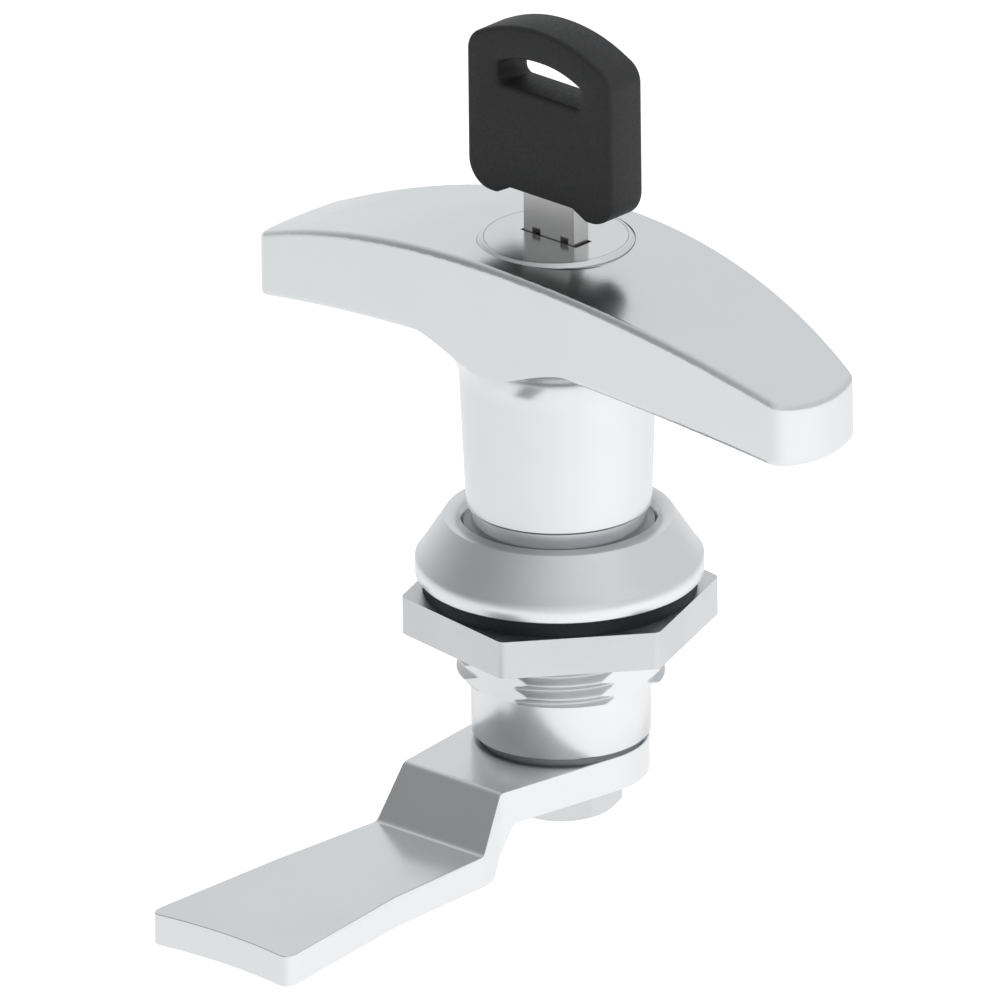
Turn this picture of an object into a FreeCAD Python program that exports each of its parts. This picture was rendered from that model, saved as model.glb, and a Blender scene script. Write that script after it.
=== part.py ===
"""T-handle lock for a panel door.

Millimetres, +Z up. The origin is on the turning axis, in the plane of the panel's
front face, which the gasket's underside rests on. The grip runs along X and the
cam points along -Y. The lock is shown unlocked, with its key in the cylinder.
"""
import FreeCAD, Part
import math
import os

# Fits and clearances
RUNNING_GAP = 0.05
SLIDING_GAP = 0.05
LOOSE_GAP = 0.15
CUT_OVER = 1.0

# Gasket and flange
GASKET_THICKNESS = 1.8
GASKET_RADIUS = 14.5
FLANGE_RADIUS = 15.25
FLANGE_RIM_HEIGHT = 2.15
FLANGE_CONE_HEIGHT = 4.4
FLANGE_LAND_RADIUS = 12.2
FLANGE_EDGE = 0.2
RECESS_RADIUS = 10.5
RECESS_DEPTH = 1.5

# Threaded barrel, M22 with flats, and the smooth barrel below it
THREAD_RADIUS = 11.0
FLAT_HALF_WIDTH = 10.05
THREAD_LENGTH = 9.55
BARREL_RADIUS = 9.5
BARREL_LENGTH = 6.5
BARREL_EDGE = 0.25

# Shaft of the handle inside the housing
JOURNAL_RADIUS = 8.55
JOURNAL_BELOW_PANEL = 3.0
SHAFT_RADIUS = 7.45
SQUARE_SIDE = 8.0
SQUARE_SHORT_OF_HUB = 0.3
SEAL_SECTION_RADIUS = 0.72
SEAL_BELOW_PANEL = 1.0
SEAL_GROOVE_RADIUS = 7.0
SEAL_GAP = 0.05
SEAL_GROOVE_HEIGHT = 1.7

# Thrust washer and the collar that stands on it
THRUST_THICKNESS = 0.75
THRUST_RADIUS = 10.1
COLLAR_RADIUS = 9.3
COLLAR_HEIGHT = 2.0

# Neck and grip bar
NECK_LOW_RADIUS = 9.84
NECK_HIGH_RADIUS = 10.4
NECK_EDGE = 0.3
NECK_FLARE_RADIUS = 6.0
BAR_TOP_HEIGHT = 39.7
BAR_TOP_DROP = 8.2
BAR_THICKNESS = 9.85
BAR_UNDERSIDE_DROP = 5.3
BAR_CORNER_X = 37.0
BAR_END_BULGE = 1.5
BAR_HALF_WIDTH = 11.2
BAR_END_HALF_WIDTH = 6.1
BAR_CORNER_RADIUS = 2.0
BAR_TOP_EDGE_RADIUS = 0.7
BAR_LOW_EDGE_RADIUS = 0.6

# Cylinder: shell and core
FACE_STANDS_OUT = 0.2
SHELL_RIM_RADIUS = 8.35
SHELL_RIM_HEIGHT = 3.9
SHELL_RIM_BEVEL = 0.4
SHELL_RADIUS = 7.2
SHELL_LENGTH = 24.5
CORE_FACE_RADIUS = 7.65
CORE_FACE_THICKNESS = 2.2
CORE_RADIUS = 5.2
CORE_BELOW_SHELL = 2.2
CLIP_THICKNESS = 1.0
CLIP_GROOVE_RADIUS = 4.2
CLIP_RADIUS = 6.6
CLIP_OPENING_ANGLE = 80.0
CYLINDER_BORE_BELOW_CORE = 0.5
PIN_RADIUS = 0.9
PIN_ABOVE_SHELL_END = 3.2
PIN_IN_SHELL = 1.3

# Keyway and key
BLADE_WIDTH = 7.2
BLADE_THICKNESS = 2.2
BLADE_LENGTH = 25.2
BLADE_IN_HEAD = 7.0
BLADE_TIP_CHAMFER = 1.2
BLADE_GROOVE_WIDTH = 1.15
BLADE_GROOVE_DEPTH = 0.7
BLADE_GROOVE_ABOVE_FACE = 0.7
BLADE_FRONT_GROOVE_PLACES = (-1.8, 2.2)
BLADE_BACK_GROOVE_PLACES = (0.2,)
KEYWAY_GAP = 0.15
KEYWAY_END_GAP = 0.4
WARD_HEIGHT = 0.3
HEAD_STANDS_OFF = 4.9
HEAD_HALF_WIDTH = 10.3
HEAD_THICKNESS = 5.1
HEAD_SIDE_HEIGHT = 15.0
HEAD_HEIGHT = 19.0
HEAD_LOBE_DEPTH = 1.0
HEAD_LOBE_PLACE = 7.8
HEAD_LOBE_FLAT = 1.6
HEAD_LOBE_SIDE_HEIGHT = 0.9
HEAD_MIDDLE_HALF_WIDTH = 5.4
HEAD_TOP_CORNER = 1.8
HEAD_CORNER_RADIUS = 1.0
HEAD_EDGE_RADIUS = 0.6
RING_SLOT_HALF_WIDTH = 5.7
RING_SLOT_HEIGHT = 4.5
RING_SLOT_BELOW_TOP = 3.4
RING_SLOT_END_HEIGHT = 3.0

# Wafers, the key's cuts and the wafer springs
WAFER_COUNT = 6
WAFER_PITCH = 2.3
WAFER_THICKNESS = 1.1
FIRST_WAFER_BELOW_FACE = 4.9
WAFER_HALF_WIDTH = 3.1
WAFER_SHORT_OF_CORE = 0.08
WAFER_WINDOW_HALF_LENGTH = 4.3
WAFER_TRAVEL = 0.7
WAFER_LUG_OUT = 0.9
WAFER_LUG_LENGTH = 1.2
WAFER_SPRING_RADIUS = 0.4
WAFER_SPRING_BORE = 0.2
WAFER_SPRING_LENGTH = 1.4
WAFER_SLOT_RADIUS = 6.2
CUT_DEPTHS = (0.4, 0.7, 0.3, 0.6, 0.5, 0.7)
CUT_FLAT = 1.2

# Core tail, its snail and the locking bolt
TAIL_RADIUS = 2.0
TAIL_BELOW_SNAIL = 0.5
TAIL_BORE_RADIUS = 4.0
TAIL_BORE_SPARE = 0.6
BOLT_ABOVE_PANEL = 4.4
BOLT_TRAVEL = 1.5
BOLT_TURN = 90
BOLT_RADIUS = 1.7
BOLT_HEAD_RADIUS = 2.3
BOLT_HEAD_THICKNESS = 1.2
BOLT_SHORT_OF_JOURNAL = 0.1
BOLT_POCKET_SPARE = 0.35
SNAIL_RADIUS = 2.3
SNAIL_HEIGHT = 3.0
SNAIL_DWELL_ANGLE = 30
SNAIL_STEP_ANGLE = 15
SNAIL_FOLLOWER_GAP = 0.25
BOLT_SPRING_LENGTH = 2.6
BOLT_SPRING_WIRE = 0.13
BOLT_SPRING_TURNS = 3.0

# Stop washer
STOP_THICKNESS = 0.45
STOP_RADIUS = 8.6
STOP_LUG_INNER_RADIUS = 7.7
STOP_LUG_OUTER_RADIUS = 8.4
STOP_LUG_HEIGHT = 1.8
STOP_LUG_ANGLE = 24.0
STOP_LUG_DIRECTION = 225.0
STOP_SPARE_ANGLE = 1.0
HANDLE_TURN = 90.0

# Cam and its screw
CAM_HUB_RADIUS = 9.3
CAM_HUB_THICKNESS = 3.9
CAM_THICKNESS = 3.5
CAM_OFFSET = 5.9
CAM_UPPER_BEND = 17.0
CAM_LOWER_BEND = 20.5
CAM_TILT_START = 35.0
CAM_TILT = 3.0
CAM_LENGTH = 53.6
CAM_WAIST_HALF_WIDTH = 6.95
CAM_ARM_HALF_WIDTH = 7.7
CAM_TIP_HALF_WIDTH = 9.15
CAM_TIP_BULGE = 1.0
CAM_TIP_CORNER = 1.6
CAM_BEND_RADIUS = 0.8
SCREW_RADIUS = 3.0
SCREW_LENGTH = 12.0
SCREW_SPARE_DEPTH = 1.0
SCREW_HEAD_FLATS = 11.0
SCREW_HEAD_HEIGHT = 4.25
SCREW_HEAD_CHAMFER = 0.4
SCREW_HEAD_DIRECTION = 12.0

# Lock nut
NUT_FLATS = 29.3
NUT_THICKNESS = 4.15
NUT_CORNER_RADIUS = 1.0
NUT_DIRECTION = 20.9

# Heights worked out from the sizes above
RIM_TOP = GASKET_THICKNESS + FLANGE_RIM_HEIGHT
FLANGE_TOP = RIM_TOP + FLANGE_CONE_HEIGHT
RECESS_FLOOR = FLANGE_TOP - RECESS_DEPTH
THRUST_LOW = RECESS_FLOOR + RUNNING_GAP
COLLAR_LOW = THRUST_LOW + THRUST_THICKNESS
NECK_LOW = COLLAR_LOW + COLLAR_HEIGHT
JOURNAL_LOW = -JOURNAL_BELOW_PANEL
BARREL_LOW = -THREAD_LENGTH - BARREL_LENGTH
STOP_TOP = BARREL_LOW - RUNNING_GAP
HUB_TOP = STOP_TOP - STOP_THICKNESS
HUB_LOW = HUB_TOP - CAM_HUB_THICKNESS
ARM_TOP = HUB_TOP - CAM_OFFSET
BAR_END_TOP = BAR_TOP_HEIGHT - BAR_TOP_DROP
BAR_UNDERSIDE = BAR_TOP_HEIGHT - BAR_THICKNESS
BAR_END_UNDERSIDE = BAR_UNDERSIDE - BAR_UNDERSIDE_DROP
FACE_TOP = BAR_TOP_HEIGHT + FACE_STANDS_OUT
SHELL_RIM_LOW = FACE_TOP - SHELL_RIM_HEIGHT
SHELL_LOW = FACE_TOP - SHELL_LENGTH
CORE_FACE_LOW = FACE_TOP - CORE_FACE_THICKNESS
CORE_LOW = SHELL_LOW - CORE_BELOW_SHELL
CYLINDER_BORE_LOW = CORE_LOW - CYLINDER_BORE_BELOW_CORE
CLIP_TOP = SHELL_LOW - LOOSE_GAP
CLIP_LOW = CLIP_TOP - CLIP_THICKNESS
PIN_HEIGHT = SHELL_LOW + PIN_ABOVE_SHELL_END
HEAD_LOW = FACE_TOP + HEAD_STANDS_OFF
BLADE_TIP = HEAD_LOW - BLADE_LENGTH
BLADE_TOP = HEAD_LOW + BLADE_IN_HEAD
SNAIL_LOW = BOLT_ABOVE_PANEL - SNAIL_HEIGHT / 2
TAIL_LOW = SNAIL_LOW - TAIL_BELOW_SNAIL
TAIL_BORE_LOW = TAIL_LOW - TAIL_BORE_SPARE

# Radii and spans worked out from the sizes above
HOUSING_BORE = JOURNAL_RADIUS + RUNNING_GAP
HOUSING_LOW_BORE = SHAFT_RADIUS + RUNNING_GAP
SHELL_BORE = CORE_RADIUS + RUNNING_GAP
HANDLE_BORE = SHELL_RADIUS + RUNNING_GAP
BOLT_HEAD_START = SNAIL_RADIUS + SNAIL_FOLLOWER_GAP
BOLT_SPRING_START = BOLT_HEAD_START + BOLT_HEAD_THICKNESS
BOLT_POCKET_END = BOLT_SPRING_START + BOLT_SPRING_LENGTH
BOLT_TIP = JOURNAL_RADIUS - BOLT_SHORT_OF_JOURNAL
KEYWAY_HALF_WIDTH = BLADE_WIDTH / 2 + KEYWAY_END_GAP
KEYWAY_HALF_THICKNESS = BLADE_THICKNESS / 2 + KEYWAY_GAP
WAFER_SLOT_HALF_WIDTH = WAFER_HALF_WIDTH + SLIDING_GAP


def vec(x, y, z):
    return FreeCAD.Vector(x, y, z)


def on_plan(a, b):
    return vec(a, b, 0)


def on_front(a, b):
    return vec(a, 0, b)


def on_side(a, b):
    return vec(0, a, b)


def outline(plane, start, *steps):
    """Closed face: a step is a point to go straight to, or (point on the arc, arc's end)."""
    edges = []
    here = start
    for step in steps:
        if isinstance(step[0], tuple):
            through, end = step
            edges.append(Part.Arc(plane(*here), plane(*through), plane(*end)).toShape())
        else:
            end = step
            edges.append(Part.makeLine(plane(*here), plane(*end)))
        here = end
    if here != start:
        edges.append(Part.makeLine(plane(*here), plane(*start)))
    return Part.Face(Part.Wire(edges))


def prism(face, low, high):
    """The face pushed along its normal axis, from low to high."""
    axis = face.normalAt(0, 0)
    axis = vec(abs(axis.x), abs(axis.y), abs(axis.z))
    moved = face.copy()
    moved.translate(axis * low)
    return moved.extrude(axis * (high - low))


def turned(start, *steps):
    """Solid of revolution about Z from an outline in radius and height."""
    return outline(on_front, start, *steps).revolve(vec(0, 0, 0), vec(0, 0, 1), 360)


def disc(radius, low, high):
    return Part.makeCylinder(radius, high - low, vec(0, 0, low))


def ring(inner, outer, low, high):
    return disc(outer, low, high).cut(disc(inner, low - CUT_OVER, high + CUT_OVER))


def block(x_low, x_high, y_low, y_high, z_low, z_high):
    size = (x_high - x_low, y_high - y_low, z_high - z_low)
    return Part.makeBox(*size, vec(x_low, y_low, z_low))


def rod_x(radius, x_low, x_high, y, z):
    return Part.makeCylinder(radius, x_high - x_low, vec(x_low, y, z), vec(1, 0, 0))


def about_axis(shape, angle):
    """The shape turned about the lock's axis."""
    moved = shape.copy()
    moved.rotate(vec(0, 0, 0), vec(0, 0, 1), angle)
    return moved


def hexagon(across_flats, low, high, direction):
    """Hexagonal prism with a flat facing the given direction."""
    corner = across_flats / math.sqrt(3)
    points = []
    for step in range(7):
        angle = math.radians(30 + 60 * step)
        points.append(vec(corner * math.cos(angle), corner * math.sin(angle), low))
    solid = Part.Face(Part.makePolygon(points)).extrude(vec(0, 0, high - low))
    return about_axis(solid, direction)


def vertical_edges(solid, test):
    """Upright straight edges whose middle passes the test."""
    found = []
    for edge in solid.Edges:
        ends = [vertex.Point for vertex in edge.Vertexes]
        upright = len(ends) == 2 and (ends[0] - ends[1]).cross(vec(0, 0, 1)).Length < 1e-6
        if upright and test(edge.CenterOfMass):
            found.append(edge)
    return found


def sector(inner, outer, low, high, direction, angle):
    """Part of a ring that spans the angle about the direction."""
    wide = Part.makeCylinder(outer, high - low, vec(0, 0, low), vec(0, 0, 1), angle)
    part = wide.cut(disc(inner, low - CUT_OVER, high + CUT_OVER))
    return about_axis(part, direction - angle / 2)


def housing():
    """Flange, threaded barrel with flats and smooth barrel, bored for the handle's shaft."""
    body = turned(
        (HOUSING_BORE, JOURNAL_LOW - LOOSE_GAP),
        (HOUSING_LOW_BORE, JOURNAL_LOW - LOOSE_GAP),
        (HOUSING_LOW_BORE, BARREL_LOW),
        (BARREL_RADIUS - BARREL_EDGE, BARREL_LOW),
        (BARREL_RADIUS, BARREL_LOW + BARREL_EDGE),
        (BARREL_RADIUS, -THREAD_LENGTH),
        (THREAD_RADIUS, -THREAD_LENGTH),
        (THREAD_RADIUS, GASKET_THICKNESS),
        (FLANGE_RADIUS - FLANGE_EDGE, GASKET_THICKNESS),
        (FLANGE_RADIUS, GASKET_THICKNESS + FLANGE_EDGE),
        (FLANGE_RADIUS, RIM_TOP - FLANGE_EDGE),
        (FLANGE_RADIUS - FLANGE_EDGE, RIM_TOP),
        (FLANGE_LAND_RADIUS, FLANGE_TOP),
        (RECESS_RADIUS, FLANGE_TOP),
        (RECESS_RADIUS, RECESS_FLOOR),
        (HOUSING_BORE, RECESS_FLOOR),
    )
    outside = 2 * THREAD_RADIUS
    for side in range(4):
        flat = block(FLAT_HALF_WIDTH, outside, -outside, outside, -THREAD_LENGTH - CUT_OVER, GASKET_THICKNESS)
        body = body.cut(about_axis(flat, 90 * side))
    for turn in (0, HANDLE_TURN):
        reach = BOLT_TIP + BOLT_TRAVEL + BOLT_POCKET_SPARE
        pocket = rod_x(BOLT_RADIUS + 2 * RUNNING_GAP, SHAFT_RADIUS, reach, 0, BOLT_ABOVE_PANEL)
        body = body.cut(about_axis(pocket, turn))
    span = HANDLE_TURN + STOP_LUG_ANGLE + 2 * STOP_SPARE_ANGLE
    middle = STOP_LUG_DIRECTION + HANDLE_TURN / 2
    recess_top = BARREL_LOW + STOP_LUG_HEIGHT + LOOSE_GAP
    track = sector(
        SHAFT_RADIUS, STOP_LUG_OUTER_RADIUS + SLIDING_GAP, BARREL_LOW - CUT_OVER, recess_top, middle, span
    )
    return body.cut(track)


def panel_gasket():
    return ring(THREAD_RADIUS + LOOSE_GAP, GASKET_RADIUS, 0, GASKET_THICKNESS)


def lock_nut():
    """Thin hexagon nut with plain faces and rounded corners."""
    body = hexagon(NUT_FLATS, -NUT_THICKNESS, 0, NUT_DIRECTION)
    body = body.makeFillet(NUT_CORNER_RADIUS, vertical_edges(body, lambda middle: True))
    return body.cut(disc(THREAD_RADIUS + SLIDING_GAP, -2 * NUT_THICKNESS, NUT_THICKNESS))


def grip_plan():
    """Boat-shaped outline of the grip seen from above."""
    x, y = BAR_CORNER_X, BAR_END_HALF_WIDTH
    return outline(
        on_plan,
        (-x, -y),
        ((0, -BAR_HALF_WIDTH), (x, -y)),
        ((x + BAR_END_BULGE, 0), (x, y)),
        ((0, BAR_HALF_WIDTH), (-x, y)),
        ((-x - BAR_END_BULGE, 0), (-x, -y)),
    )


def arch(crown, end, x):
    """Height at x of an arc that falls from its crown at x = 0 to its end height."""
    span = BAR_CORNER_X + BAR_END_BULGE
    drop = crown - end
    radius = (span ** 2 + drop ** 2) / (2 * drop)
    return crown - radius + math.sqrt(radius ** 2 - x ** 2)


def grip_bar():
    """Arched bar: its plan outline and its front outline, crossed, with rounded edges."""
    end = BAR_CORNER_X + BAR_END_BULGE
    front = outline(
        on_front,
        (-end, BAR_END_UNDERSIDE),
        ((0, BAR_UNDERSIDE), (end, BAR_END_UNDERSIDE)),
        (end, BAR_END_TOP),
        ((0, BAR_TOP_HEIGHT), (-end, BAR_END_TOP)),
    )
    plan = prism(grip_plan(), 0, 2 * BAR_TOP_HEIGHT)
    plan = plan.makeFillet(BAR_CORNER_RADIUS, vertical_edges(plan, lambda middle: True))
    bar = prism(front, -2 * BAR_HALF_WIDTH, 2 * BAR_HALF_WIDTH).common(plan)
    middle = (BAR_END_TOP + BAR_END_UNDERSIDE) / 2
    top_edges = [edge for edge in bar.Edges if min(v.Z for v in edge.Vertexes) > middle]
    bar = bar.makeFillet(BAR_TOP_EDGE_RADIUS, top_edges)
    low_edges = [edge for edge in bar.Edges if max(v.Z for v in edge.Vertexes) < middle]
    return bar.makeFillet(BAR_LOW_EDGE_RADIUS, low_edges)


def neck_and_shaft():
    """Everything round under the grip, turned in one piece, with the flare cut to the grip's plan."""
    flare_radius = NECK_HIGH_RADIUS + NECK_FLARE_RADIUS
    meets_side = math.sqrt(flare_radius ** 2 - BAR_HALF_WIDTH ** 2)
    flare_top = arch(BAR_UNDERSIDE, BAR_END_UNDERSIDE, meets_side) + BAR_LOW_EDGE_RADIUS
    flare_low = flare_top - NECK_FLARE_RADIUS
    bend = NECK_FLARE_RADIUS * math.sqrt(0.5)
    inside_bar = (BAR_TOP_HEIGHT + BAR_UNDERSIDE) / 2
    seal = -SEAL_BELOW_PANEL
    body = turned(
        (0, STOP_TOP),
        (SHAFT_RADIUS, STOP_TOP),
        (SHAFT_RADIUS, JOURNAL_LOW),
        (JOURNAL_RADIUS, JOURNAL_LOW),
        (JOURNAL_RADIUS, seal - SEAL_GROOVE_HEIGHT / 2),
        (SEAL_GROOVE_RADIUS, seal - SEAL_GROOVE_HEIGHT / 2),
        (SEAL_GROOVE_RADIUS, seal + SEAL_GROOVE_HEIGHT / 2),
        (JOURNAL_RADIUS, seal + SEAL_GROOVE_HEIGHT / 2),
        (JOURNAL_RADIUS, COLLAR_LOW),
        (COLLAR_RADIUS, COLLAR_LOW),
        (COLLAR_RADIUS, NECK_LOW),
        (NECK_LOW_RADIUS - NECK_EDGE, NECK_LOW),
        (NECK_LOW_RADIUS, NECK_LOW + NECK_EDGE),
        (NECK_HIGH_RADIUS, flare_low),
        ((flare_radius - bend, flare_low + bend), (flare_radius, flare_top)),
        (flare_radius, inside_bar),
        (0, inside_bar),
    )
    return body.common(prism(grip_plan(), STOP_TOP, inside_bar))


def t_handle():
    """Grip, neck and shaft in one casting, bored for the cylinder, its tail and the bolt."""
    body = grip_bar().fuse(neck_and_shaft())
    half = SQUARE_SIDE / 2
    body = body.fuse(block(-half, half, -half, half, HUB_LOW + SQUARE_SHORT_OF_HUB, STOP_TOP))
    above = 2 * BAR_TOP_HEIGHT
    body = body.cut(disc(SHELL_RIM_RADIUS + SLIDING_GAP, SHELL_RIM_LOW, above))
    body = body.cut(disc(HANDLE_BORE, CYLINDER_BORE_LOW, above))
    body = body.cut(disc(TAIL_BORE_RADIUS, TAIL_BORE_LOW, above))
    outside = -JOURNAL_RADIUS - CUT_OVER
    body = body.cut(rod_x(BOLT_HEAD_RADIUS + SLIDING_GAP, outside, BOLT_POCKET_END, 0, BOLT_ABOVE_PANEL))
    body = body.cut(rod_x(BOLT_RADIUS + SLIDING_GAP, 0, -outside, 0, BOLT_ABOVE_PANEL))
    body = body.cut(cylinder_pin_at(SLIDING_GAP, CUT_OVER))
    screw_top = HUB_LOW + SCREW_LENGTH + SCREW_SPARE_DEPTH
    body = body.cut(disc(SCREW_RADIUS + SLIDING_GAP, HUB_LOW - CUT_OVER, screw_top))
    return body.removeSplitter()


def shaft_o_ring():
    middle = (JOURNAL_RADIUS + RUNNING_GAP - SEAL_GAP) - SEAL_SECTION_RADIUS
    return Part.makeTorus(middle, SEAL_SECTION_RADIUS, vec(0, 0, -SEAL_BELOW_PANEL))


def thrust_washer():
    return ring(JOURNAL_RADIUS + SLIDING_GAP, THRUST_RADIUS, THRUST_LOW, COLLAR_LOW)


def cylinder_pin_at(gap, over):
    """Radial pin from the back of the neck into the shell's wall."""
    start = SHELL_RADIUS - PIN_IN_SHELL - gap
    end = NECK_LOW_RADIUS + over
    pin = Part.makeCylinder(PIN_RADIUS + gap, end - start, vec(0, start, PIN_HEIGHT), vec(0, 1, 0))
    return pin


def cylinder_pin():
    return cylinder_pin_at(0, 0)


def wafer_heights():
    """Middle height of each wafer, from the face down."""
    first = FACE_TOP - FIRST_WAFER_BELOW_FACE
    return [first - WAFER_PITCH * index for index in range(WAFER_COUNT)]


def wafer_side(index):
    """Way along X that a wafer moves when the key leaves: they alternate."""
    return 1 if index % 2 == 0 else -1


def cylinder_shell():
    """Shell with a bevelled rim, and four slots that the wafers enter when the key is out."""
    floor = CORE_FACE_LOW - RUNNING_GAP
    body = turned(
        (SHELL_BORE, SHELL_LOW),
        (SHELL_RADIUS, SHELL_LOW),
        (SHELL_RADIUS, SHELL_RIM_LOW),
        (SHELL_RIM_RADIUS, SHELL_RIM_LOW),
        (SHELL_RIM_RADIUS, FACE_TOP - SHELL_RIM_BEVEL),
        (SHELL_RIM_RADIUS - SHELL_RIM_BEVEL, FACE_TOP),
        (CORE_FACE_RADIUS + RUNNING_GAP, FACE_TOP),
        (CORE_FACE_RADIUS + RUNNING_GAP, floor),
        (SHELL_BORE, floor),
    )
    heights = wafer_heights()
    low = heights[-1] - WAFER_THICKNESS
    high = heights[0] + WAFER_THICKNESS
    half = WAFER_SLOT_HALF_WIDTH + SLIDING_GAP
    slot = block(-WAFER_SLOT_RADIUS, WAFER_SLOT_RADIUS, -half, half, low, high)
    slot = slot.common(disc(WAFER_SLOT_RADIUS, low, high))
    body = body.cut(slot).cut(about_axis(slot, 90))
    return body.cut(cylinder_pin_at(SLIDING_GAP, CUT_OVER))


def snail():
    """Cam on the core's tail whose radius grows evenly over the core's turn."""
    dwell = SNAIL_DWELL_ANGLE
    rest = 360 - BOLT_TURN - dwell
    high = SNAIL_RADIUS + BOLT_TRAVEL
    low = SNAIL_RADIUS - BOLT_TRAVEL * dwell / BOLT_TURN
    points = []
    for back in range(-dwell, 360 - dwell, SNAIL_STEP_ANGLE):
        if back <= BOLT_TURN:
            radius = SNAIL_RADIUS + BOLT_TRAVEL * back / BOLT_TURN
        elif back <= BOLT_TURN + dwell:
            radius = high
        else:
            radius = high + (low - high) * (back - BOLT_TURN - dwell) / (rest - dwell)
        angle = math.radians(-back)
        points.append(vec(radius * math.cos(angle), radius * math.sin(angle), SNAIL_LOW))
    curve = Part.BSplineCurve()
    curve.interpolate(points, PeriodicFlag=True)
    return Part.Face(Part.Wire(curve.toShape())).extrude(vec(0, 0, SNAIL_HEIGHT))


def keyway():
    """Slot for the blade, narrowed by a ward at each of the blade's grooves."""
    low = BLADE_TIP - LOOSE_GAP
    high = FACE_TOP + CUT_OVER
    half, depth = KEYWAY_HALF_WIDTH, KEYWAY_HALF_THICKNESS
    body = block(-half, half, -depth, depth, low, high)
    side = BLADE_GROOVE_WIDTH / 2 - KEYWAY_GAP
    ward_top = FACE_TOP - CORE_FACE_THICKNESS
    for front, places in ((1, BLADE_FRONT_GROOVE_PLACES), (-1, BLADE_BACK_GROOVE_PLACES)):
        y_low, y_high = sorted((-front * depth, -front * (depth - KEYWAY_GAP - WARD_HEIGHT)))
        for place in places:
            body = body.cut(block(place - side, place + side, y_low, y_high, low, ward_top))
    return body


def lug_span(side):
    """X range of a wafer's spring lug."""
    return sorted((0, -side * WAFER_LUG_LENGTH))


def core():
    """Plug with its face, clip groove, wafer slots, keyway and tail."""
    body = turned(
        (0, CORE_LOW),
        (CORE_RADIUS, CORE_LOW),
        (CORE_RADIUS, CLIP_LOW - SLIDING_GAP),
        (CLIP_GROOVE_RADIUS, CLIP_LOW - SLIDING_GAP),
        (CLIP_GROOVE_RADIUS, CLIP_TOP + SLIDING_GAP),
        (CORE_RADIUS, CLIP_TOP + SLIDING_GAP),
        (CORE_RADIUS, CORE_FACE_LOW),
        (CORE_FACE_RADIUS, CORE_FACE_LOW),
        (CORE_FACE_RADIUS, FACE_TOP),
        (0, FACE_TOP),
    )
    body = body.fuse(disc(TAIL_RADIUS, TAIL_LOW, CORE_LOW)).fuse(snail())
    body = body.cut(keyway())
    half = WAFER_SLOT_HALF_WIDTH
    wide = 2 * CORE_RADIUS
    for index, height in enumerate(wafer_heights()):
        side = wafer_side(index)
        low = height - WAFER_THICKNESS / 2 - SLIDING_GAP
        high = height + WAFER_THICKNESS / 2 + SLIDING_GAP
        body = body.cut(block(-wide, wide, -half, half, low, high))
        spring_end = -side * (WAFER_LUG_LENGTH + WAFER_SPRING_LENGTH + SLIDING_GAP)
        x_low, x_high = sorted((spring_end, side * (WAFER_TRAVEL + SLIDING_GAP)))
        y_high = WAFER_HALF_WIDTH + WAFER_LUG_OUT + SLIDING_GAP
        body = body.cut(block(x_low, x_high, 0, y_high, low, high))
    return body.removeSplitter()


def core_clip():
    """Open spring ring in the core's groove, under the shell."""
    inner = CLIP_GROOVE_RADIUS + SLIDING_GAP
    return sector(inner, CLIP_RADIUS, CLIP_LOW, CLIP_TOP, 90, 360 - CLIP_OPENING_ANGLE)


def wafer(index):
    """Flat wafer with round ends, a window for the blade and a lug for its spring."""
    height = wafer_heights()[index]
    side = wafer_side(index)
    low, high = height - WAFER_THICKNESS / 2, height + WAFER_THICKNESS / 2
    radius = CORE_RADIUS - WAFER_SHORT_OF_CORE
    body = block(-radius, radius, -WAFER_HALF_WIDTH, WAFER_HALF_WIDTH, low, high)
    body = body.common(disc(radius, low, high))
    x_low, x_high = lug_span(side)
    body = body.fuse(block(x_low, x_high, 0, WAFER_HALF_WIDTH + WAFER_LUG_OUT, low, high))
    window, depth = WAFER_WINDOW_HALF_LENGTH, KEYWAY_HALF_THICKNESS
    body = body.cut(block(-window, window, -depth, depth, low - CUT_OVER, high + CUT_OVER))
    return body.removeSplitter()


def wafer_springs():
    """A short close-wound spring beside each wafer's lug."""
    springs = []
    place = WAFER_SLOT_HALF_WIDTH + WAFER_SPRING_RADIUS + SLIDING_GAP
    for index, height in enumerate(wafer_heights()):
        side = wafer_side(index)
        start = -side * WAFER_LUG_LENGTH
        end = start - side * WAFER_SPRING_LENGTH
        low, high = sorted((start, end))
        outer = rod_x(WAFER_SPRING_RADIUS, low, high, place, height)
        inner = rod_x(WAFER_SPRING_BORE, low - CUT_OVER, high + CUT_OVER, place, height)
        springs.append(outer.cut(inner))
    return Part.makeCompound(springs)


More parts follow.
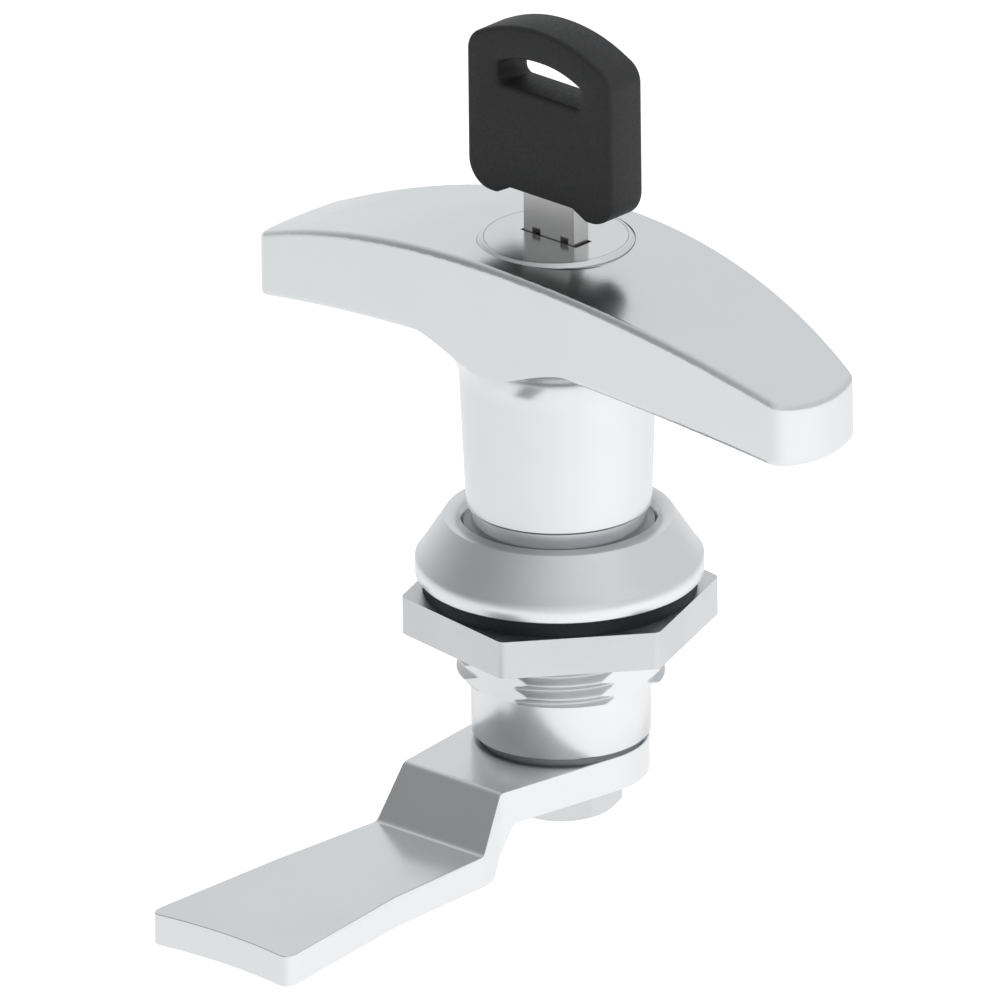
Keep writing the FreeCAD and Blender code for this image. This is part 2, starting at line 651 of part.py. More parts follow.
def key_blade():
    """Flat blade with a groove on each face and a cut at each wafer."""
    half, depth = BLADE_WIDTH / 2, BLADE_THICKNESS / 2
    tip = BLADE_TIP_CHAMFER
    side_view = outline(
        on_front,
        (-half + tip, BLADE_TIP),
        (half - tip, BLADE_TIP),
        (half, BLADE_TIP + tip),
        (half, BLADE_TOP),
        (-half, BLADE_TOP),
        (-half, BLADE_TIP + tip),
    )
    body = prism(side_view, -depth, depth)
    for index, height in enumerate(wafer_heights()):
        edge = -wafer_side(index) * half
        bottom = -wafer_side(index) * (half - CUT_DEPTHS[index % len(CUT_DEPTHS)])
        mouth = CUT_FLAT / 2 + abs(edge - bottom)
        over = edge + (edge - bottom)
        cut = outline(
            on_front,
            (over, height - mouth - abs(edge - bottom)),
            (bottom, height - CUT_FLAT / 2),
            (bottom, height + CUT_FLAT / 2),
            (over, height + mouth + abs(edge - bottom)),
        )
        body = body.cut(prism(cut, -2 * depth, 2 * depth))
    groove = BLADE_GROOVE_WIDTH / 2
    low, high = BLADE_TIP - CUT_OVER, FACE_TOP + BLADE_GROOVE_ABOVE_FACE
    for front, places in ((1, BLADE_FRONT_GROOVE_PLACES), (-1, BLADE_BACK_GROOVE_PLACES)):
        y_low, y_high = sorted((-front * depth, -front * (depth - BLADE_GROOVE_DEPTH)))
        for place in places:
            body = body.cut(block(place - groove, place + groove, y_low, y_high, low, high))
    return body.removeSplitter()


def key_head():
    """Moulded bow: two rounded lobes below, an arched top and a slot for a key ring."""
    wide, middle = HEAD_HALF_WIDTH, HEAD_MIDDLE_HALF_WIDTH
    lobe_in, lobe_out = HEAD_LOBE_PLACE - HEAD_LOBE_FLAT / 2, HEAD_LOBE_PLACE + HEAD_LOBE_FLAT / 2
    low = HEAD_LOW
    lobe_low = HEAD_LOW - HEAD_LOBE_DEPTH
    lobe_top = HEAD_LOW + HEAD_LOBE_SIDE_HEIGHT
    shoulder = HEAD_LOW + HEAD_SIDE_HEIGHT
    top = HEAD_LOW + HEAD_HEIGHT
    crown_x, crown = wide - HEAD_TOP_CORNER, shoulder + HEAD_TOP_CORNER
    front = outline(
        on_front,
        (-middle, low),
        (middle, low),
        (lobe_in, lobe_low),
        (lobe_out, lobe_low),
        (wide, lobe_top),
        (wide, shoulder),
        (crown_x, crown),
        ((0, top), (-crown_x, crown)),
        (-wide, shoulder),
        (-wide, lobe_top),
        (-lobe_out, lobe_low),
        (-lobe_in, lobe_low),
    )
    half = HEAD_THICKNESS / 2
    body = prism(front, -half, half)
    corners = [edge for edge in body.Edges if abs(edge.CenterOfMass.y) < 1e-6]
    body = body.makeFillet(HEAD_CORNER_RADIUS, corners)
    rims = [edge for edge in body.Edges if abs(abs(edge.CenterOfMass.y) - half) < 1e-6]
    body = body.makeFillet(HEAD_EDGE_RADIUS, rims)
    slot_top = top - RING_SLOT_BELOW_TOP
    slot_low = slot_top - RING_SLOT_HEIGHT
    slot_side = slot_low + RING_SLOT_END_HEIGHT
    slot = outline(
        on_front,
        (-RING_SLOT_HALF_WIDTH, slot_low),
        (RING_SLOT_HALF_WIDTH, slot_low),
        (RING_SLOT_HALF_WIDTH, slot_side),
        ((0, slot_top), (-RING_SLOT_HALF_WIDTH, slot_side)),
    )
    body = body.cut(prism(slot, -2 * half, 2 * half))
    blade_x, blade_y = BLADE_WIDTH / 2, BLADE_THICKNESS / 2
    return body.cut(block(-blade_x, blade_x, -blade_y, blade_y, low - CUT_OVER, BLADE_TOP))


def locking_bolt():
    """Round bolt, drawn back in its bore, with a head that the snail pushes."""
    head = rod_x(BOLT_HEAD_RADIUS, BOLT_HEAD_START, BOLT_SPRING_START, 0, BOLT_ABOVE_PANEL)
    return head.fuse(rod_x(BOLT_RADIUS, BOLT_HEAD_START, BOLT_TIP, 0, BOLT_ABOVE_PANEL)).removeSplitter()


def bolt_spring():
    """Coil spring of square wire round the bolt, between its head and the pocket's end."""
    middle = (BOLT_RADIUS + BOLT_HEAD_RADIUS) / 2
    height = BOLT_SPRING_LENGTH - 2 * BOLT_SPRING_WIRE
    helix = Part.makeHelix(height / BOLT_SPRING_TURNS, height, middle)
    low, high = middle - BOLT_SPRING_WIRE, middle + BOLT_SPRING_WIRE
    section = outline(
        on_front,
        (low, -BOLT_SPRING_WIRE),
        (high, -BOLT_SPRING_WIRE),
        (high, BOLT_SPRING_WIRE),
        (low, BOLT_SPRING_WIRE),
    )
    coil = Part.Wire(helix).makePipeShell([section.OuterWire], True, True)
    coil.rotate(vec(0, 0, 0), vec(0, 1, 0), 90)
    coil.translate(vec(BOLT_SPRING_START + BOLT_SPRING_WIRE, 0, BOLT_ABOVE_PANEL))
    return coil


def square_hole(low, high):
    half = SQUARE_SIDE / 2 + SLIDING_GAP
    return block(-half, half, -half, half, low - CUT_OVER, high + CUT_OVER)


def stop_washer():
    """Washer keyed to the shaft's square, with a lug that runs in the barrel's end."""
    plate = disc(STOP_RADIUS, HUB_TOP, STOP_TOP)
    top = BARREL_LOW + STOP_LUG_HEIGHT
    inner, outer = STOP_LUG_INNER_RADIUS, STOP_LUG_OUTER_RADIUS
    lug = sector(inner, outer, HUB_TOP, top, STOP_LUG_DIRECTION, STOP_LUG_ANGLE)
    return plate.fuse(lug).cut(square_hole(HUB_TOP, STOP_TOP)).removeSplitter()


def cam_side():
    """Cranked strip seen from the side, bent down from the hub to the arm."""
    back = CAM_HUB_RADIUS + CUT_OVER
    run = CAM_LOWER_BEND - CAM_UPPER_BEND
    fall = CAM_OFFSET
    slope = math.hypot(run, fall)
    shift_y = CAM_THICKNESS * fall / slope
    shift_z = CAM_THICKNESS * run / slope
    low_upper = CAM_UPPER_BEND - shift_y + (CAM_HUB_THICKNESS - shift_z) * run / fall
    low_lower = CAM_LOWER_BEND - shift_y + (CAM_THICKNESS - shift_z) * run / fall
    end = CAM_LENGTH + CAM_TIP_BULGE + CUT_OVER
    tip_top = ARM_TOP - (end - CAM_TILT_START) * math.tan(math.radians(CAM_TILT))
    return outline(
        on_side,
        (back, HUB_TOP),
        (-CAM_UPPER_BEND, HUB_TOP),
        (-CAM_LOWER_BEND, ARM_TOP),
        (-CAM_TILT_START, ARM_TOP),
        (-end, tip_top),
        (-end, tip_top - CAM_THICKNESS),
        (-CAM_TILT_START, ARM_TOP - CAM_THICKNESS),
        (-low_lower, ARM_TOP - CAM_THICKNESS),
        (-low_upper, HUB_LOW),
        (back, HUB_LOW),
    )


def cam_plan():
    """Cam seen from above: round hub, waist at the crank, wider towards the tip."""
    waist = (CAM_WAIST_HALF_WIDTH, -CAM_UPPER_BEND)
    arm = (CAM_ARM_HALF_WIDTH, -CAM_LOWER_BEND)
    reach = math.hypot(*waist)
    away = math.atan2(waist[1], waist[0]) + math.acos(CAM_HUB_RADIUS / reach)
    touch = (CAM_HUB_RADIUS * math.cos(away), CAM_HUB_RADIUS * math.sin(away))
    tip = (CAM_TIP_HALF_WIDTH, -CAM_LENGTH + CAM_TIP_BULGE)
    return outline(
        on_plan,
        touch,
        ((0, CAM_HUB_RADIUS), (-touch[0], touch[1])),
        (-waist[0], waist[1]),
        (-arm[0], arm[1]),
        (-tip[0], tip[1]),
        ((0, -CAM_LENGTH), tip),
        arm,
        waist,
    )


def cam():
    """Cranked cam with a round hub and a square hole."""
    side = prism(cam_side(), -2 * CAM_HUB_RADIUS, 2 * CAM_HUB_RADIUS)
    bends = []
    for edge in side.Edges:
        place = edge.CenterOfMass
        along_x = abs(place.x) < 1e-6 and edge.Length > CAM_HUB_RADIUS
        if along_x and -CAM_LOWER_BEND - CUT_OVER < place.y < 0:
            bends.append(edge)
    side = side.makeFillet(CAM_BEND_RADIUS, bends)
    plan = prism(cam_plan(), 2 * HUB_LOW, 0)
    corners = vertical_edges(plan, lambda middle: middle.y < -CAM_TILT_START)
    plan = plan.makeFillet(CAM_TIP_CORNER, corners)
    return side.common(plan).cut(square_hole(HUB_LOW, HUB_TOP))


def cam_screw():
    """Hexagon screw that holds the cam on the shaft's square."""
    head = hexagon(SCREW_HEAD_FLATS, HUB_LOW - SCREW_HEAD_HEIGHT, HUB_LOW, SCREW_HEAD_DIRECTION)
    corner = SCREW_HEAD_FLATS / math.sqrt(3)
    low = HUB_LOW - SCREW_HEAD_HEIGHT
    rise = SCREW_HEAD_CHAMFER + (corner - SCREW_HEAD_FLATS / 2) * math.tan(math.radians(30))
    envelope = turned(
        (0, low),
        (SCREW_HEAD_FLATS / 2 - SCREW_HEAD_CHAMFER, low),
        (corner + SCREW_HEAD_CHAMFER, low + rise),
        (corner + SCREW_HEAD_CHAMFER, HUB_LOW),
        (0, HUB_LOW),
    )
    return head.common(envelope).fuse(disc(SCREW_RADIUS, HUB_LOW, HUB_LOW + SCREW_LENGTH))


def write(name, shape):
    """Writes the piece's solids to its own file."""
    solids = shape.Solids
    print(name, len(solids), round(shape.Volume, 1), shape.isValid())
    Part.makeCompound(solids).exportStep("parts/" + name + ".step")


os.makedirs("parts", exist_ok=True)
pieces = {
    "housing": housing(),
    "panel_gasket": panel_gasket(),
    "lock_nut": lock_nut(),
    "t_handle": t_handle(),
    "shaft_o_ring": shaft_o_ring(),
    "thrust_washer": thrust_washer(),
    "cylinder_shell": cylinder_shell(),
    "cylinder_pin": cylinder_pin(),
    "core": core(),
    "core_clip": core_clip(),
    "wafer_springs": wafer_springs(),
    "key_blade": key_blade(),
    "key_head": key_head(),
    "locking_bolt": locking_bolt(),
    "bolt_spring": bolt_spring(),
    "stop_washer": stop_washer(),
    "cam": cam(),
    "cam_screw": cam_screw(),
}
for index in range(WAFER_COUNT):
    pieces["wafer_" + str(index + 1)] = wafer(index)
for name, shape in pieces.items():
    write(name, shape)
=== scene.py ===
from math import cos, radians, sin, tan

import bmesh
import bpy
from mathutils import Matrix, Quaternion, Vector


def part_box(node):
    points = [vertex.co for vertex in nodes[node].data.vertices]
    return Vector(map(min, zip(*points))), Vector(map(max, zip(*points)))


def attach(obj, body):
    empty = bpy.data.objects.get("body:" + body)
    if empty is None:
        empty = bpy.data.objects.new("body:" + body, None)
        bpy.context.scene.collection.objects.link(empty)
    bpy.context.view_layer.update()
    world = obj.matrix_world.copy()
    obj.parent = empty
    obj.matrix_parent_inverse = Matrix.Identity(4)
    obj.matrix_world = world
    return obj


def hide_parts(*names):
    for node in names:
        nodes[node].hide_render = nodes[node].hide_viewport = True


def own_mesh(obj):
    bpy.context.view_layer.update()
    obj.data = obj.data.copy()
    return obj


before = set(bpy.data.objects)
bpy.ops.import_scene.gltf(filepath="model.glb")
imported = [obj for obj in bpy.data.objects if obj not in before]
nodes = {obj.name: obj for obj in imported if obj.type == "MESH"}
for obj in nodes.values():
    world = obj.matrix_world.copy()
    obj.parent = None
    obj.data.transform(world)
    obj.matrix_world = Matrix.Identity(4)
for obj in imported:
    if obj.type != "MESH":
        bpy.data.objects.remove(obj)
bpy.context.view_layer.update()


# T-handle: one zinc die casting, the arched bar, the neck and the shaft below it, tumbled smooth and
# plated in satin chrome, which clouds over softly in places.

CLOUD_SIZE = 0.009
NOISE_DETAIL = 3.0
NOISE_LOW = 0.3
NOISE_HIGH = 0.7


def added(tree, kind, **inputs):
    """A new node with its inputs set, or linked where another node's output is given."""
    node = tree.nodes.new(kind)
    for label, given in inputs.items():
        socket = node.inputs[label.replace("_", " ")]
        if isinstance(given, bpy.types.NodeSocket):
            tree.links.new(given, socket)
        else:
            socket.default_value = given
    return node


def material(name):
    """A new material with its node tree, its shader and the object's own coordinates."""
    made = bpy.data.materials.new(name)
    made.use_nodes = True
    tree = made.node_tree
    return made, tree, tree.nodes["Principled BSDF"], added(tree, "ShaderNodeTexCoord").outputs["Object"]


def noise(tree, place, size):
    """Grey noise whose grains are about as wide as size, in metres."""
    grains = added(tree, "ShaderNodeTexNoise", Vector=place, Scale=1 / size, Detail=NOISE_DETAIL)
    return grains.outputs["Fac"]


def spread(tree, value, low, high):
    """The noise's middle range set out from low to high."""
    ranged = added(tree, "ShaderNodeMapRange", Value=value, From_Min=NOISE_LOW, From_Max=NOISE_HIGH,
                   To_Min=low, To_Max=high)
    return ranged.outputs["Result"]


def relief(tree, shader, height, depth):
    """Bump of that depth, in metres."""
    bump = added(tree, "ShaderNodeBump", Height=height, Distance=depth, Strength=1.0)
    tree.links.new(bump.outputs["Normal"], shader.inputs["Normal"])


def plated(name, colour, rough, grain, depth):
    """A plated metal: its roughness clouds over in soft patches, over a fine cast grain."""
    made, tree, shader, place = material(name)
    shader.inputs["Metallic"].default_value = 1.0
    shader.inputs["Base Color"].default_value = (*colour, 1)
    tree.links.new(spread(tree, noise(tree, place, CLOUD_SIZE), *rough), shader.inputs["Roughness"])
    relief(tree, shader, noise(tree, place, grain), depth)
    return made


def finish(node, made):
    """Gives a CAD node its material."""
    nodes[node].data.materials.clear()
    nodes[node].data.materials.append(made)


satin_chrome = plated("satin_chrome", colour=(0.75, 0.76, 0.77), rough=(0.17, 0.25),
                      grain=0.0005, depth=0.000003)
finish("t_handle", satin_chrome)


# Cylinder: brass shell and core, chromed, pressed into the handle. The face shows a bevelled rim round
# the plain disc that turns with the key.

face_chrome = plated("face_chrome", colour=(0.76, 0.77, 0.78), rough=(0.18, 0.26),
                     grain=0.0004, depth=0.000002)
finish("cylinder_shell", face_chrome)
finish("core", face_chrome)


# Wafers: stamped brass leaves that block the core, each on its spring. A steel clip holds the core in its
# shell, and a pin holds the shell in the handle. Little of them shows, even with the key out.

wafer_brass = plated("wafer_brass", colour=(0.72, 0.53, 0.24), rough=(0.29, 0.4),
                     grain=0.0003, depth=0.000003)
spring_steel = plated("spring_steel", colour=(0.55, 0.55, 0.56), rough=(0.29, 0.38),
                      grain=0.0003, depth=0.000002)
for number in range(1, 7):
    finish(f"wafer_{number}", wafer_brass)
for name in ("wafer_springs", "core_clip", "cylinder_pin"):
    finish(name, spring_steel)


# Locking bolt: turned steel, in the handle's shaft. Its coil spring shortens against the shoulder in the
# shaft as the core's snail drives the bolt out into the housing.

SAME_CORNER = 0.0000005
EDGE_ANGLE = radians(32)


def merged(node):
    """The node's own mesh, opened for editing, with its doubled corners merged."""
    body = bmesh.new()
    body.from_mesh(nodes[node].data)
    bmesh.ops.remove_doubles(body, verts=body.verts, dist=SAME_CORNER)
    return body


def as_piece(body, name, made):
    """The edited shape as a new object, in that material."""
    mesh = bpy.data.meshes.new(name)
    body.to_mesh(mesh)
    body.free()
    mesh.materials.append(made)
    piece = bpy.data.objects.new(name, mesh)
    bpy.context.scene.collection.objects.link(piece)
    return piece


def smoothed(piece):
    """Shades the piece smooth, up to its real edges."""
    piece.data.shade_smooth()
    piece.data.set_sharp_from_angle(angle=EDGE_ANGLE)


finish("locking_bolt", spring_steel)
spring = as_piece(merged("bolt_spring"), "bolt_spring_coils", spring_steel)
smoothed(spring)
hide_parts("bolt_spring")
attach(spring, "turning_handle")
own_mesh(spring)


# Key: flat nickelled steel blade, moulded into a thick black plastic head. The head has two lobes below,
# a domed top, soft rims and an arched slot for the ring.

HEAD_LOBES = 0.001
HEAD_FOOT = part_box("key_head")[0].z + HEAD_LOBES
HEAD_THICKNESS = 0.0051
HEAD_RIM = 0.0005
HEAD_CORNERS = ((4.5, 0, 1.0), (6.4, -1.0, 0.6), (10.3, -1.0, 3.2), (10.3, 16.1, 2.6), (4.2, 19.0, 18.0))
RING_SLOT_CORNERS = ((6.0, 11.6, 0.8), (6.0, 13.9, 0.6), (2.9, 15.3, 12.0))
CORNER_STEPS = 12
RIM_STEPS = 4
MILLIMETRES = 1000


def rounded(corners):
    """The outline through those corners (x, height, radius in mm) and their mirror images, in metres."""
    corners = corners + tuple((-x, high, radius) for x, high, radius in reversed(corners))
    spots = [Vector((x, high)) / MILLIMETRES for x, high, radius in corners]
    outline = []
    for number, corner in enumerate(spots):
        radius = corners[number][2] / MILLIMETRES
        before = (spots[number - 1] - corner).normalized()
        after = (spots[(number + 1) % len(spots)] - corner).normalized()
        half = before.angle(after) / 2
        centre = corner + (before + after).normalized() * radius / sin(half)
        start = corner + before * radius / tan(half) - centre
        turn = start.angle_signed(corner + after * radius / tan(half) - centre)
        for step in range(CORNER_STEPS + 1):
            outline.append(centre + Matrix.Rotation(-turn * step / CORNER_STEPS, 2) @ start)
    return outline


def moulded(name, outlines, made):
    """The head with its rims rolled over: the first outline goes round it, the others through it."""
    body = bmesh.new()
    front = []
    for step in range(RIM_STEPS + 1):
        bend = radians(90) * step / RIM_STEPS
        front.append((HEAD_RIM * (1 - sin(bend)), HEAD_RIM * (1 - cos(bend)) - HEAD_THICKNESS / 2))
    levels = front + [(inset, -y) for inset, y in reversed(front)]
    caps = ([], [])
    for number, outline in enumerate(outlines):
        rings = []
        for inset, y in levels:
            ring = []
            for index, point in enumerate(outline):
                along = outline[(index + 1) % len(outline)] - outline[index - 1]
                inwards = Vector((-along.y, along.x)).normalized() * (-1 if number else 1)
                spot = point + inwards * inset
                ring.append(body.verts.new((spot.x, y, HEAD_FOOT + spot.y)))
            rings.append(ring)
        for low, high in zip(rings, rings[1:]):
            for index in range(len(outline)):
                body.faces.new((low[index - 1], low[index], high[index], high[index - 1]))
        for cap, ring in zip(caps, (rings[0], rings[-1])):
            cap.extend(body.edges.get((ring[index - 1], ring[index])) for index in range(len(ring)))
    for cap in caps:
        bmesh.ops.triangle_fill(body, use_beauty=True, edges=cap)
    bmesh.ops.remove_doubles(body, verts=body.verts, dist=SAME_CORNER)
    bmesh.ops.recalc_face_normals(body, faces=body.faces)
    piece = as_piece(body, name, made)
    smoothed(piece)
    return piece


blade_nickel = plated("blade_nickel", colour=(0.70, 0.695, 0.68), rough=(0.29, 0.38),
                      grain=0.0004, depth=0.000003)
finish("key_blade", blade_nickel)

head_plastic, tree, shader, place = material("head_plastic")
shader.inputs["Base Color"].default_value = (0.024, 0.024, 0.025, 1)
shader.inputs["Specular IOR Level"].default_value = 0.25
grain = noise(tree, place, size=0.00035)
tree.links.new(spread(tree, grain, low=0.45, high=0.6), shader.inputs["Roughness"])
relief(tree, shader, grain, depth=0.00002)
head = moulded("key_head_moulded", [rounded(HEAD_CORNERS), rounded(RING_SLOT_CORNERS)], head_plastic)
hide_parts("key_head")
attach(head, "key")


# Housing: die-cast flange and barrel in one, chromed like the handle. A steel washer in the flange's
# recess carries the neck.

housing_chrome = plated("housing_chrome", colour=(0.80, 0.81, 0.82), rough=(0.29, 0.35),
                        grain=0.0005, depth=0.000003)
# The washer's dark grey is painted shade: it stands for the shade in the flange's recess round the neck.
washer_steel_painted_recess_shade = plated("washer_steel_painted_recess_shade", colour=(0.34, 0.34, 0.34), rough=(0.35, 0.45),
                      grain=0.0004, depth=0.000003)
finish("thrust_washer", washer_steel_painted_recess_shade)


# Thread: M22 x 1.5, cast round the barrel between its four flats with shallow blunt crests. It runs up to
# the flange and stops square at the lower end, where the smooth barrel begins.

BARREL_TOP = -0.00955
BARREL_SIDE = 0.0095
FLANGE_UNDERSIDE = 0.0018
THREAD_SIZES = {
    "Major Radius": 0.011,
    "Pitch": 0.0015,
    "Depth": 0.00062,
    "Flat Half Width": 0.01005,
    "Low": BARREL_TOP,
    "High": FLANGE_UNDERSIDE,
    "Core Radius": BARREL_SIDE,
    "Steps Round": 433,
    "Steps Along": 116,
}
FLANK_SLOPE = 1.35
SEAM = 0.000002
CLEAR = 0.00001

# The thread's colour is darker than the housing's: painted shade for its grooves. Its higher roughness is
# real.
thread_chrome_painted_groove_shade = plated("thread_chrome_painted_groove_shade", colour=(0.70, 0.71, 0.72), rough=(0.36, 0.45),
                       grain=0.0004, depth=0.000004)


def maths(tree, operation, *values):
    """A math node on outputs or plain numbers."""
    node = tree.nodes.new("ShaderNodeMath")
    node.operation = operation
    for socket, value in zip(node.inputs, values):
        if isinstance(value, bpy.types.NodeSocket):
            tree.links.new(value, socket)
        else:
            socket.default_value = value
    return node.outputs[0]


def thread_tree(bare, groove_shade_material):
    """Adds a right-handed thread, in a darker material that paints the shade of its grooves, with four bare
    flats, to the housing it is given.
    """
    tree = bpy.data.node_groups.new("barrel_thread", "GeometryNodeTree")
    tree.is_modifier = True
    tree.interface.new_socket("Geometry", in_out="INPUT", socket_type="NodeSocketGeometry")
    tree.interface.new_socket("Geometry", in_out="OUTPUT", socket_type="NodeSocketGeometry")
    for label, size in THREAD_SIZES.items():
        kind = "NodeSocketInt" if isinstance(size, int) else "NodeSocketFloat"
        tree.interface.new_socket(label, in_out="INPUT", socket_type=kind)
    given = tree.nodes.new("NodeGroupInput").outputs
    grid = added(tree, "GeometryNodeMeshGrid", Size_X=1.0, Size_Y=1.0, Vertices_X=given["Steps Round"],
                 Vertices_Y=given["Steps Along"])

    # The grid's first row is kept for the face that closes the lower end, the others climb the barrel.
    position = added(tree, "GeometryNodeInputPosition").outputs["Position"]
    spot = added(tree, "ShaderNodeSeparateXYZ", Vector=position).outputs
    turn = maths(tree, "ADD", spot["X"], 0.5)
    along = maths(tree, "ADD", spot["Y"], 0.5)
    first = maths(tree, "DIVIDE", 1.0, maths(tree, "SUBTRACT", given["Steps Along"], 1.0))
    risen = maths(tree, "MAXIMUM", maths(tree, "SUBTRACT", along, first), 0.0)
    rise = maths(tree, "SUBTRACT", given["High"], given["Low"])
    span = maths(tree, "DIVIDE", rise, maths(tree, "SUBTRACT", 1.0, first))
    height = maths(tree, "MULTIPLY_ADD", risen, span, given["Low"])
    angle = maths(tree, "MULTIPLY", turn, radians(360))
    across = maths(tree, "COSINE", angle)
    up = maths(tree, "SINE", angle)

    # The groove winds up by a pitch a turn and runs out over the last pitch below the flange.
    pitches = maths(tree, "DIVIDE", height, given["Pitch"])
    phase = maths(tree, "FRACT", maths(tree, "SUBTRACT", pitches, turn))
    wave = maths(tree, "ABSOLUTE", maths(tree, "MULTIPLY_ADD", phase, 2.0, -1.0))
    flank = maths(tree, "MULTIPLY_ADD", wave, FLANK_SLOPE, (1 - FLANK_SLOPE) / 2)
    groove = added(tree, "ShaderNodeClamp", Value=flank).outputs["Result"]
    left = maths(tree, "DIVIDE", maths(tree, "SUBTRACT", given["High"], height), given["Pitch"])
    groove = maths(tree, "MULTIPLY", groove, maths(tree, "MINIMUM", left, 1.0))
    radius = maths(tree, "SUBTRACT", given["Major Radius"], maths(tree, "MULTIPLY", groove, given["Depth"]))

    # Four flats cut it off, and the first row is drawn in to the smooth barrel.
    end_face = maths(tree, "ADD", along, given["Core Radius"])
    facing = maths(tree, "MAXIMUM", maths(tree, "ABSOLUTE", across), maths(tree, "ABSOLUTE", up))
    flat = maths(tree, "DIVIDE", given["Flat Half Width"], facing)
    threaded = maths(tree, "LESS_THAN", radius, flat)
    radius = maths(tree, "MINIMUM", maths(tree, "MINIMUM", radius, end_face), flat)

    # The grid is wrapped round the axis, closed at its seam and joined to the housing.
    coated = added(tree, "GeometryNodeSetMaterial", Geometry=grid.outputs["Mesh"], Material=bare)
    marked = tree.nodes.new("GeometryNodeCaptureAttribute")
    marked.domain = "FACE"
    marked.capture_items.new("FLOAT", "Thread")
    tree.links.new(coated.outputs["Geometry"], marked.inputs["Geometry"])
    tree.links.new(threaded, marked.inputs["Thread"])
    wound = added(tree, "ShaderNodeCombineXYZ", X=maths(tree, "MULTIPLY", radius, across),
                  Y=maths(tree, "MULTIPLY", radius, up), Z=height)
    wrap = added(tree, "GeometryNodeSetPosition", Geometry=marked.outputs["Geometry"],
                 Position=wound.outputs["Vector"])
    seam = added(tree, "GeometryNodeMergeByDistance", Geometry=wrap.outputs["Geometry"], Distance=SEAM)
    join = added(tree, "GeometryNodeJoinGeometry", Geometry=given["Geometry"])
    tree.links.new(seam.outputs["Geometry"], join.inputs["Geometry"])
    real = added(tree, "GeometryNodeRealizeInstances", Geometry=join.outputs["Geometry"])
    # The thread's faces get the darker material, which paints the shade in its grooves.
    groove_shaded = added(tree, "GeometryNodeSetMaterial", Geometry=real.outputs["Geometry"],
                 Selection=marked.outputs["Thread"], Material=groove_shade_material)
    added(tree, "NodeGroupOutput", Geometry=groove_shaded.outputs["Geometry"])
    return tree


def without_plain_thread():
    """The housing's own shape with the surface between flange and barrel taken off."""
    body = merged("housing")
    plain = []
    for face in body.faces:
        middle = face.calc_center_median()
        between = BARREL_TOP - CLEAR < middle.z < FLANGE_UNDERSIDE - CLEAR
        if between and middle.xy.length > BARREL_SIDE + 2 * CLEAR:
            plain.append(face)
    bmesh.ops.delete(body, geom=plain, context="FACES")
    return body


def made_real(source, name):
    """The evaluated object as a plain one, with its modifiers gone."""
    evaluated = source.evaluated_get(bpy.context.evaluated_depsgraph_get())
    mesh = bpy.data.meshes.new_from_object(evaluated)
    mesh.name = name
    bpy.data.objects.remove(source)
    piece = bpy.data.objects.new(name, mesh)
    bpy.context.scene.collection.objects.link(piece)
    return piece


blank = as_piece(without_plain_thread(), "housing_blank", housing_chrome)
cutter = blank.modifiers.new("thread", "NODES")
cutter.node_group = thread_tree(housing_chrome, thread_chrome_painted_groove_shade)
for item in cutter.node_group.interface.items_tree:
    if item.in_out == "INPUT" and item.name in THREAD_SIZES:
        cutter[item.identifier] = THREAD_SIZES[item.name]
housing = made_real(blank, "housing_threaded")
smoothed(housing)
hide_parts("housing")
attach(housing, "mounted_housing")


# Seals: a flat ring cut from black rubber lies under the flange and seals it on the panel. A moulded
# O-ring seals the shaft in the housing.

rubber, tree, shader, place = material("rubber")
shader.inputs["Base Color"].default_value = (0.009, 0.010, 0.012, 1)
shader.inputs["Specular IOR Level"].default_value = 0.3
shader.inputs["Roughness"].default_value = 0.7
relief(tree, shader, noise(tree, place, size=0.0006), depth=0.00003)
finish("panel_gasket", rubber)
finish("shaft_o_ring", rubber)


# Lock nut, stop washer and screw: zinc plated steel, the nut and the screw duller than the cam. The
# darker washer's lug stops the handle after a quarter turn, and the screw holds the cam on the shaft.

dull_zinc = plated("dull_zinc", colour=(0.66, 0.66, 0.67), rough=(0.3, 0.42),
                   grain=0.0006, depth=0.000005)
finish("lock_nut", dull_zinc)
finish("cam_screw", dull_zinc)
# The stop washer shares that dark grey, which is painted shade meant for the flange's recess.
finish("stop_washer", washer_steel_painted_recess_shade)


# Cam: stamped and cranked steel strip, bright zinc plated, its edges tumbled. It sits on the shaft's
# square. The tip widens, and its end is slightly hollow.

TIP_START = 0.035
TIP_END = 0.0526
TIP_HALF_WIDTH = 0.00915
TIP_SPREAD = 0.09
TIP_HOLLOW = 0.001
TIP_HOLLOW_POWER = 6
ONE_PLANE = radians(0.5)
TUMBLED_WIDTH = 0.00028
TUMBLED_FROM = radians(40)

zinc_plate = plated("zinc_plate", colour=(0.76, 0.77, 0.78), rough=(0.18, 0.26),
                    grain=0.0005, depth=0.000003)
body = merged("cam")
bmesh.ops.dissolve_limit(body, angle_limit=ONE_PLANE, verts=body.verts, edges=body.edges)
for corner in body.verts:
    outwards = min(max((-corner.co.y - TIP_START) / (TIP_END - TIP_START), 0), 1)
    across = corner.co.x / TIP_HALF_WIDTH
    corner.co.y += TIP_HOLLOW * (1 - 2 * across ** 2) * outwards ** TIP_HOLLOW_POWER
    corner.co.x *= 1 + TIP_SPREAD * outwards
stamping = as_piece(body, "cam_stamping", zinc_plate)
stamping.data.shade_smooth()
tumbled = stamping.modifiers.new("tumbled", "BEVEL")
tumbled.width = TUMBLED_WIDTH
tumbled.segments = 2
tumbled.limit_method = "ANGLE"
tumbled.angle_limit = TUMBLED_FROM
stamping.modifiers.new("evened", "WEIGHTED_NORMAL").keep_sharp = True
cam = made_real(stamping, "cam_tumbled")
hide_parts("cam")
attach(cam, "turning_handle")


# Studio: a pale floor well below the lock and a pale room that darkens on the front left, where the
# metal mirrors it. One broad lamp on the right lights the floor and the plastic.

